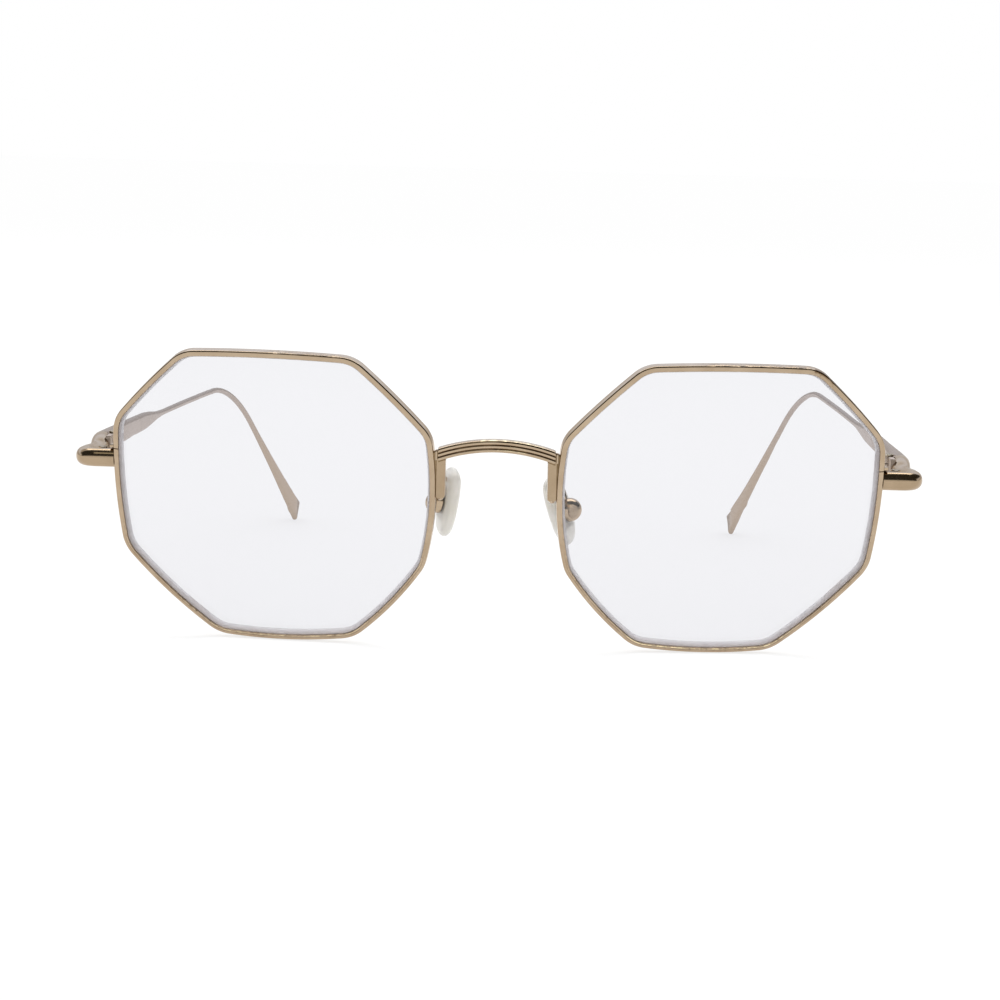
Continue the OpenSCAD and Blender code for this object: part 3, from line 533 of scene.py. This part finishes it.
def on_arch(x, rise, depth):
    """A point of the bridge: way from the middle, height over its middle line, depth."""
    z = math.sqrt((BRIDGE_R + rise) ** 2 - x * x) + BRIDGE_RISE - BRIDGE_R
    y0, z0 = BRIDGE_END.y - FORWARD, BRIDGE_END.z
    return (x, y0 + depth * math.cos(TILT) - z * math.sin(TILT),
            z0 + depth * math.sin(TILT) + z * math.cos(TILT))


RIDGE_R, RIDGE_PITCH = 0.364, 0.636   # the three ridges along the bridge's front
VALLEY = 0.27                         # depth of the grooves between them
BACK_HALF, BACK_ROUND = 0.8, 0.2
END_STEPS, END_ROUND = 8, 0.09        # each end is rounded over on its last 0.09 mm
END_HIGH, END_DEEP = 0.93, 0.88       # and is this much slimmer at its face
ARCH_STEPS = 60
# Painted shade in the grooves between the ridges: where it lies, and how dark
VALLEY_Q, VALLEY_SHADE = (0.26, 0.38), 0.8
# Painted highlights, as bright flecks on the ridges and along the top: height over the middle
# line and way along, from and to
HIGHLIGHT_FLECKS = [((0.84, 2.0), (-2.5, 7.5)), ((0.12, 0.26), (2.4, 4.6)), ((-0.52, -0.38), (0.2, 4.6))]


def bridge_profile():
    """Section of the bridge, as height over its middle line and depth."""
    profile = []
    for i in (-1, 0, 1):
        middle = i * RIDGE_PITCH
        first, last = 180 if i < 0 else 209, 360 if i > 0 else 331
        profile += fillet(middle, RIDGE_R, RIDGE_R, first, last, 8)
        if i < 1:
            profile.append((middle + RIDGE_PITCH / 2, VALLEY))
    behind = BRIDGE_DEPTH - BACK_ROUND
    return (profile + fillet(BACK_HALF, behind, BACK_ROUND, 0, 90, 4)
            + fillet(-BACK_HALF, behind, BACK_ROUND, 90, 180, 4))


def build_bridge():
    """The ridged arch, with painted shade in its grooves and painted highlights along its top
    and in flecks on the left half's ridges."""
    profile = bridge_profile()
    # Way along, and how full the section is: both ends are rounded over and cut upright
    turns = [math.radians(90 * k / END_STEPS) for k in range(END_STEPS + 1)]
    run = [(BRIDGE_HALF - END_ROUND * math.sin(t), 1 - math.cos(t)) for t in turns]
    straight = run[-1][0]
    spans = [(-x, full) for x, full in run]
    spans += [(-straight + 2 * straight * k / ARCH_STEPS, 1.0) for k in range(1, ARCH_STEPS)]
    spans += run[::-1]
    middle = BRIDGE_DEPTH / 2
    points, valley_shade, painted_highlights = [], [], []
    for x, full in spans:
        high, deep = END_HIGH + (1 - END_HIGH) * full, END_DEEP + (1 - END_DEEP) * full
        points += [on_arch(x, q * high, middle + (d - middle) * deep) for q, d in profile]
        for q, d in profile:
            in_valley = VALLEY_Q[0] < abs(q) < VALLEY_Q[1]
            flecked = any(q0 < q < q1 and x0 < x < x1 for (q0, q1), (x0, x1) in HIGHLIGHT_FLECKS)
            valley_shade.append(VALLEY_SHADE if d < 0.3 and in_valley else 0.0)
            painted_highlights.append(1.0 if d < 0.4 and flecked else 0.0)
    faces = tube_faces(len(spans), len(profile), False)
    piece = make("bridge_ridged", points, faces, [GOLD_RIM], angle=40,
                 marks={"line": valley_shade, "painted_highlight": painted_highlights})
    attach(piece, "front")
    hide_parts("bridge")


# Section of the plain tongue that joins each end to the rim, and its rings: way out of the end,
# and whether the ring stands in the band of dark solder, which is fuller and whose dark tone is
# painted shade at the joint
tongue_profile = (fillet(0.55, 0.55, 0.2, 270, 360, 3) + fillet(0.55, 1.0, 0.2, 0, 90, 3)
                  + fillet(-0.65, 1.0, 0.2, 90, 180, 3)
                  + fillet(-0.65, 0.55, 0.2, 180, 270, 3))
TONGUE = [(-0.9, False), (0.02, False), (0.12, False), (0.16, True), (0.42, True),
          (0.46, False), (0.56, False), (1.1, False)]
TONGUE_SLIM, TONGUE_MIDDLE = 0.88, 0.8
# The dark solder under the end, where the bridge stands on the pad arm's strip: painted shade
# under the bridge
UNDER_IN = (1.25, 0.6, 0.02)
UNDER_PROFILE = ((-1.13, 0.22), (-1.13, 1.1), (-0.9, 1.1), (-0.9, 0.22))


def build_bridge_end(name, side):
    n = len(tongue_profile)
    points, tags = [], []
    for out, full in TONGUE:
        grow = 1.0 if full else TONGUE_SLIM
        points += [on_arch(BRIDGE_HALF + out, q * grow,
                           TONGUE_MIDDLE + (d - TONGUE_MIDDLE) * grow)
                   for q, d in tongue_profile]
    for before, after in zip(TONGUE, TONGUE[1:]):
        tags += [1 if before[1] and after[1] else 0] * n
    tongue = make(name + "_bridge_tongue", points, tube_faces(len(TONGUE), n, False),
                  [SOLDER_AND_SHADE, GOLD], side, tags=tags + [0, 0])
    line = [on_arch(BRIDGE_HALF - x, q, d) for x in UNDER_IN for q, d in UNDER_PROFILE]
    below = make(name + "_bridge_solder", line,
                 tube_faces(len(UNDER_IN), len(UNDER_PROFILE), False), [SOLDER_AND_SHADE], side)
    for piece in (tongue, below):
        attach(piece, "front")


# ---------------------------------------------------------------- nose pads

def in_pad(name, p):
    """A point of a pad's frame, x away from the nose, in the standing frame."""
    pad = PADS[name]
    turn = (Matrix.Rotation(math.radians(-pad["splay"]), 3, "Z")
            @ Matrix.Rotation(math.radians(-pad["slant"]), 3, "Y")
            @ Matrix.Rotation(math.radians(PAD_LEAN), 3, "X"))
    return Vector(pad["centre"]) + turn @ Vector(p)


# Outline of a pad, front to back and up: a D with its flatter side in front
PAD_OUTLINE = [(-0.5, 1.0), (-0.86, 0.86), (-1.0, 0.45), (-0.98, -0.05), (-0.84, -0.55),
               (-0.5, -0.9), (0.0, -1.0), (0.52, -0.9), (0.88, -0.55), (1.0, -0.05),
               (0.9, 0.45), (0.6, 0.86), (0.1, 1.03)]
FLAT = 0.74                           # share of the outline that the two flat sides fill
NEAR, FAR = 1.0, -1.02                # nose side and far side, in half thicknesses
CROWN = 0.1                           # how far the nose side falls towards its edge
BULGE, FULLER = 0.945, 0.04           # the round edge, and how much fuller it is behind


def smooth_loop(corners, steps):
    """A closed smooth curve through points of any dimension."""
    loop, n = [], len(corners)
    for i in range(n):
        four = [Vector(corners[(i + k - 1) % n]) for k in range(4)]
        loop += [spline(*four, j / steps) for j in range(steps)]
    return loop


def build_pad(name, side):
    """The soft pad, from the middle of its nose side round the edge to the far side."""
    outline = smooth_loop(PAD_OUTLINE, 5)
    n = len(outline)
    rows = [(s, NEAR - CROWN * s ** 2) for s in (0.2, 0.4, 0.6, FLAT)]
    for a in range(15, 180, 15):
        turn = math.radians(a)
        rows.append((FLAT + (1 - FLAT) * math.sin(turn),
                     BULGE * math.cos(turn) - FULLER * (a > 90)))
    rows += [(s, FAR) for s in (FLAT, 0.5, 0.25)]
    points = []
    for s, h in rows:
        points += [in_pad(name, (-h * PAD_T / 2, q.x * s * PAD_W / 2, q.y * s * PAD_H / 2))
                   for q in outline]
    faces = tube_faces(len(rows), n, False)[:-2]
    for h, row in ((NEAR, 0), (FAR, len(rows) - 1)):
        faces += fan(points, in_pad(name, (-h * PAD_T / 2, 0, 0)), row, n)
    piece = make(name + "_pad_soft", points, faces, [SILICONE], side, angle=60)
    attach(piece, name + "_pad")
    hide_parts(name + "_pad")


# ---------------------------------------------------------------- pad arms

AROUND = 20                           # points round the wire
DOME = (80, 60, 40, 20)               # degrees of the rings that round its start


def ring(p, across, rise, r):
    turns = [2 * math.pi * k / AROUND for k in range(AROUND)]
    return [p + (across * math.cos(t) + rise * math.sin(t)) * r for t in turns]


def tube(path, radius):
    """Rings round a path, turned with it without twisting and domed at its start.

    Gives their points and their count.
    """
    last = len(path) - 1
    tangents = [(path[min(i + 1, last)] - path[max(i - 1, 0)]).normalized()
                for i in range(len(path))]
    across = tangents[0].cross(Vector((1, 0.1, 0.2))).normalized()
    points = []
    for p, tangent in zip(path, tangents):
        across = (across - tangent * across.dot(tangent)).normalized()
        rise = tangent.cross(across)
        if not points:
            for a in DOME:
                back = radius * math.sin(math.radians(a))
                points += ring(p - tangent * back, across, rise,
                               radius * math.cos(math.radians(a)))
        points += ring(p, across, rise, radius)
    return points, len(path) + len(DOME)


STRIP_TOP, STRIP_FRONT = 8.4, 0.02
STRIP_END = 0.4                       # radius of the strip's rounded lower end
OUT_ROUND, IN_ROUND, BACK_IN_ROUND = 0.14, 0.1, 0.12
STRIP_IN = nose_edge(STRIP_V) - STRIP_SEAM
STRIP_OUT = STRIP_IN - STRIP_W
STRIP_MID_U, STRIP_MID_D = (STRIP_OUT + STRIP_IN) / 2, (STRIP_FRONT + STRIP_T) / 2
strip_profile = (
    fillet(STRIP_OUT + OUT_ROUND, STRIP_FRONT + OUT_ROUND, OUT_ROUND, 180, 270, 4)
    + fillet(STRIP_IN - IN_ROUND, STRIP_FRONT + IN_ROUND, IN_ROUND, 270, 360, 4)
    + fillet(STRIP_IN - BACK_IN_ROUND, STRIP_T - BACK_IN_ROUND, BACK_IN_ROUND, 0, 90, 3)
    + fillet(STRIP_OUT + OUT_ROUND, STRIP_T - OUT_ROUND, OUT_ROUND, 90, 180, 3))


def build_strip(name, side):
    """The flat strip that is soldered beside the rim."""
    rows = [STRIP_V + STRIP_END * (1 - math.sin(math.radians(a))) for a in (90, 70, 50, 30, 10)]
    rows += [STRIP_V + STRIP_END + (STRIP_TOP - STRIP_V - STRIP_END) * k / 6 for k in range(7)]
    points = []
    for v in rows:
        share = 1 - (v - STRIP_V) / STRIP_END
        cut = STRIP_END * (1 - math.sqrt(1 - share ** 2)) if v < STRIP_V + STRIP_END else 0
        wide = 1 - cut / ((STRIP_IN - STRIP_OUT) / 2)
        deep = 1 - cut * 0.6 / ((STRIP_T - STRIP_FRONT) / 2)
        points += [in_rim(STRIP_MID_U + (u - STRIP_MID_U) * wide, v,
                          STRIP_MID_D + (d - STRIP_MID_D) * deep)
                   for u, d in strip_profile]
    return make(name + "_arm_strip", points, tube_faces(len(rows), len(strip_profile), False),
                [GOLD_DEEP], side)


def build_seam(name, side):
    """The solder between strip and rim, behind their front edges, dark as painted shade in the
    seam.
    """
    near, into = STRIP_IN - 0.1, 0.15
    front, behind = 0.24, 1.15
    levels = (STRIP_V + 0.5, 4.0, 6.0, STRIP_TOP)
    points = []
    for v in levels:
        far = nose_edge(v) + into
        points += [in_rim(u, v, d) for u, d in (
            (near, front), (far, front + 0.06), (far, behind), (near, behind))]
    return make(name + "_arm_solder", points, tube_faces(len(levels), 4, False),
                [SOLDER_AND_SHADE], side)


def build_wire(name, side):
    """The wire that curls back from the strip to the pad's box."""
    end = Vector(in_pad(name, (BOX_BALL_X - 0.35, -0.2, BOX_R * 0.66)))
    foot = Vector(in_rim(STRIP_MID_U, STRIP_V + 0.7, 0.62))
    knots = [foot + Vector((0, -0.02, 1.0)), foot, foot + Vector((0.1, 1.1, -0.75)),
             foot + Vector((0.2, 3.0, 0.4)), foot.lerp(end, 0.5) + Vector((-0.2, 2.2, 1.9)),
             end + Vector((-0.75, 1.0, 2.2)), end + Vector((-0.3, 0.2, 0.9)), end]
    path, steps = [], 8
    for four in zip(knots, knots[1:], knots[2:], knots[3:] + [end]):
        path += [spline(*four, j / steps) for j in range(steps)]
    path.append(end)
    points, count = tube(path, ARM_R)
    return make(name + "_arm_wire", points, tube_faces(count, AROUND, False), [GOLD], side,
                angle=50)


def build_arm(name, side):
    strip = build_strip(name, side)
    for piece in (strip, build_seam(name, side), build_wire(name, side)):
        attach(piece, "front")
    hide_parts(name + "_pad_arm")


for name, side in SIDES.items():
    build_rim(name, side)
    build_lens(name, side)
    build_pad(name, side)
    build_arm(name, side)
build_bridge()
for name, side in SIDES.items():
    build_bridge_end(name, side)


# ---------------------------------------------------------------- carried-over CAD pieces

WELD = 0.000002                       # metres
SMOOTH_BELOW, BEVEL_ABOVE = math.radians(32), math.radians(40)


def smooth_by_angle():
    """Geometry nodes that drop the mesh's own normals and smooth it up to an angle."""
    group = bpy.data.node_groups.new("smooth_by_angle", "GeometryNodeTree")
    for way in ("INPUT", "OUTPUT"):
        group.interface.new_socket("Geometry", in_out=way, socket_type="NodeSocketGeometry")
    new, link = group.nodes.new, group.links.new
    start, end = new("NodeGroupInput"), new("NodeGroupOutput")
    drop = new("GeometryNodeRemoveAttribute")
    drop.inputs["Name"].default_value = "custom_normal"
    smooth_faces = new("GeometryNodeSetShadeSmooth")
    smooth_faces.domain = "FACE"
    sharp_edges = new("GeometryNodeSetShadeSmooth")
    sharp_edges.domain = "EDGE"
    sharp_edges.inputs["Shade Smooth"].default_value = False
    bend = new("GeometryNodeInputMeshEdgeAngle")
    wide = new("FunctionNodeCompare")
    wide.data_type = "FLOAT"
    wide.operation = "GREATER_THAN"
    wide.inputs["B"].default_value = SMOOTH_BELOW
    link(start.outputs[0], drop.inputs["Geometry"])
    link(drop.outputs["Geometry"], smooth_faces.inputs["Geometry"])
    link(smooth_faces.outputs["Geometry"], sharp_edges.inputs["Geometry"])
    link(bend.outputs["Unsigned Angle"], wide.inputs["A"])
    link(wide.outputs["Result"], sharp_edges.inputs["Selection"])
    link(sharp_edges.outputs["Geometry"], end.inputs[0])
    return group


# Each one's material, and the width in millimetres of the bevel along its sharp edges
CARRIED = {"upper_lug": (GOLD, 0.08), "lower_lug": (GOLD, 0.08), "closing_screw": (SCREW, 0.04),
           "end_piece": (GOLD_DEEP, 0.0), "front_hinge": (HINGE, 0.1),
           "hinge_screw": (SCREW, 0.05), "temple_hinge": (HINGE, 0.1), "temple": (ROSE, 0.0),
           "pad_box": (GOLD, 0.0), "pad_screw": (SCREW, 0.04), "pad_insert": (INSERT, 0.05)}
smoothing = smooth_by_angle()
for name in SIDES:
    for part, (material, edge) in CARRIED.items():
        piece = nodes[name + "_" + part]
        for slot in piece.material_slots:
            slot.material = material
        weld = piece.modifiers.new("weld", "WELD")
        weld.merge_threshold = WELD
        if edge:
            bevel = piece.modifiers.new("bevel", "BEVEL")
            bevel.width = edge / 1000
            bevel.segments = 2
            bevel.limit_method = "ANGLE"
            bevel.angle_limit = BEVEL_ABOVE
        smooth = piece.modifiers.new("smooth", "NODES")
        smooth.node_group = smoothing


# ---------------------------------------------------------------- floor

floor_mesh = bpy.data.meshes.new("floor")
floor_mesh.from_pydata([(-4, -4, 0), (4, -4, 0), (4, 6, 0), (-4, 6, 0)], [], [(0, 1, 2, 3)])
floor = bpy.data.objects.new("floor", floor_mesh)
floor.location.z = -0.00002           # a hair below what stands on it
bpy.context.scene.collection.objects.link(floor)
n = Nodes(bpy.data.materials.new("floor_white"))
glow = n.add("Emission", {"Color": (1, 1, 1, 1), "Strength": 0.69})
matt = n.add("BsdfDiffuse", {"Color": (0.33, 0.33, 0.33, 1)})
floor_mesh.materials.append(n.close(n.add("AddShader", {0: glow, 1: matt})))


# ---------------------------------------------------------------- world

def window(value, low, high, soft):
    """1 between low and high, 0 outside, with a soft step at both."""
    return w.math("MULTIPLY", w.span(value, low - soft, low), w.span(value, high + soft, high))


def ramp(share, stops):
    """A colour by angle: stops are degrees and colours, and share is 1 at 180 degrees."""
    node = w.add("ValToRGB", {0: share})
    elements = node.color_ramp.elements
    while len(elements) < len(stops):
        elements.new(0.5)
    for element, (degrees, colour) in zip(elements, stops):
        element.position = degrees / 180
        element.color = colour + (1,)
    return node.outputs[0]


# What polished metal mirrors: pale walls, a dark strip overhead that reaches round the
# sides, and behind the object a paler ceiling. over runs from the level in front, at 0
# degrees, over the top to the level behind, at 180, and height from the level upwards.
world = bpy.data.worlds.new("studio")
bpy.context.scene.world = world
w = Nodes(world, "OutputWorld")
BLACK, WHITE = (0, 0, 0), (1, 1, 1)
CEILING_TONE = (1.02, 1.13, 1.36)
DARK_TONE, PANEL_TONE = (0.035, 0.033, 0.026, 1), (0.62, 0.6, 0.5, 1)
direction = w.add("SeparateXYZ", {0: w.add("TexCoord").outputs["Generated"]}).outputs
x, z = direction["X"], direction["Z"]
front = w.math("MULTIPLY", direction["Y"], -1.0)
over = w.math("DIVIDE", w.math("ARCTAN2", z, front), math.pi)
height = w.math("DIVIDE", w.math("ARCSINE", z), math.pi)
around = w.math("ARCTAN2", x, front)
walls = ramp(over, [(0, WHITE), (128, (0.62, 0.6, 0.58)), (140, CEILING_TONE),
                    (152, CEILING_TONE), (163, (0.7, 0.69, 0.68)), (180, (0.66, 0.65, 0.64))])
overhead = ramp(over, [(10, BLACK), (17, WHITE), (89, WHITE), (95, BLACK)])
beside = ramp(height, [(10, BLACK), (17, WHITE)])
reach = window(around, math.radians(-100), math.radians(135), 0.1)
dark = w.math("MAXIMUM", overhead, w.math("MULTIPLY", beside, reach))
lit = w.mix(dark, walls, DARK_TONE)
# A paler panel hangs inside the dark strip, to the left of the camera
hung = w.math("MULTIPLY", window(x, -0.3, -0.1, 0.06),
              ramp(over, [(42, BLACK), (46, WHITE), (60, WHITE), (65, BLACK)]))
mirrored = w.mix(hung, lit, PANEL_TONE)

# Glossy rays find that room, diffuse ones an even light, and the camera plain white
rays = w.add("LightPath").outputs
even = w.add("Background", {"Color": (1, 1, 1, 1), "Strength": 0.92})
room = w.add("Background", {"Color": mirrored, "Strength": 1.0})
white = w.add("Background", {"Color": (1, 1, 1, 1), "Strength": 1.0})
seen = w.math("MAXIMUM", rays["Is Camera Ray"], rays["Is Transmission Ray"])
lighting = w.add("MixShader", {0: rays["Is Glossy Ray"], 1: even, 2: room})
w.close(w.add("MixShader", {0: seen, 1: lighting, 2: white}))


# ---------------------------------------------------------------- lamp and camera

# A softbox above and behind the object, tilted towards it
LAMP_W, LAMP_D, LAMP_GLOW = 1.2, 0.35, 2.5
LAMP_PLACE, LAMP_TILT = (0, 0.399, 0.903), -28
softbox = bpy.data.lights.new("softbox", "AREA")
softbox.shape = "RECTANGLE"
softbox.size, softbox.size_y = LAMP_W, LAMP_D
softbox.energy = LAMP_GLOW * math.pi * LAMP_W * LAMP_D
lamp = bpy.data.objects.new("softbox", softbox)
lamp.location = LAMP_PLACE
lamp.rotation_euler = (math.radians(LAMP_TILT), 0, 0)
bpy.context.scene.collection.objects.link(lamp)

# As fitted to the photograph
ELEVATION, YAW, ROLL = math.radians(7.593), math.radians(1.21), math.radians(1.582)
AIM, AWAY = Vector((0.645, 0, 24.986)), 434.434
FOCAL, SENSOR = 98.83, 36
back = Vector((math.sin(YAW) * math.cos(ELEVATION), -math.cos(YAW) * math.cos(ELEVATION),
               math.sin(ELEVATION)))
right = (-back).cross(Vector((0, 0, 1))).normalized()
up = right.cross(-back)
across = right * math.cos(ROLL) + up * math.sin(ROLL)
upward = up * math.cos(ROLL) - right * math.sin(ROLL)
view = bpy.data.cameras.new("camera")
view.lens, view.sensor_width = FOCAL, SENSOR
view.clip_start = 0.01
camera = bpy.data.objects.new("camera", view)
camera.matrix_world = Matrix((across, upward, back)).transposed().to_4x4()
camera.location = put(AIM + back * AWAY)
bpy.context.scene.collection.objects.link(camera)
bpy.context.scene.camera = camera
bpy.context.scene.view_settings.view_transform = "Standard"
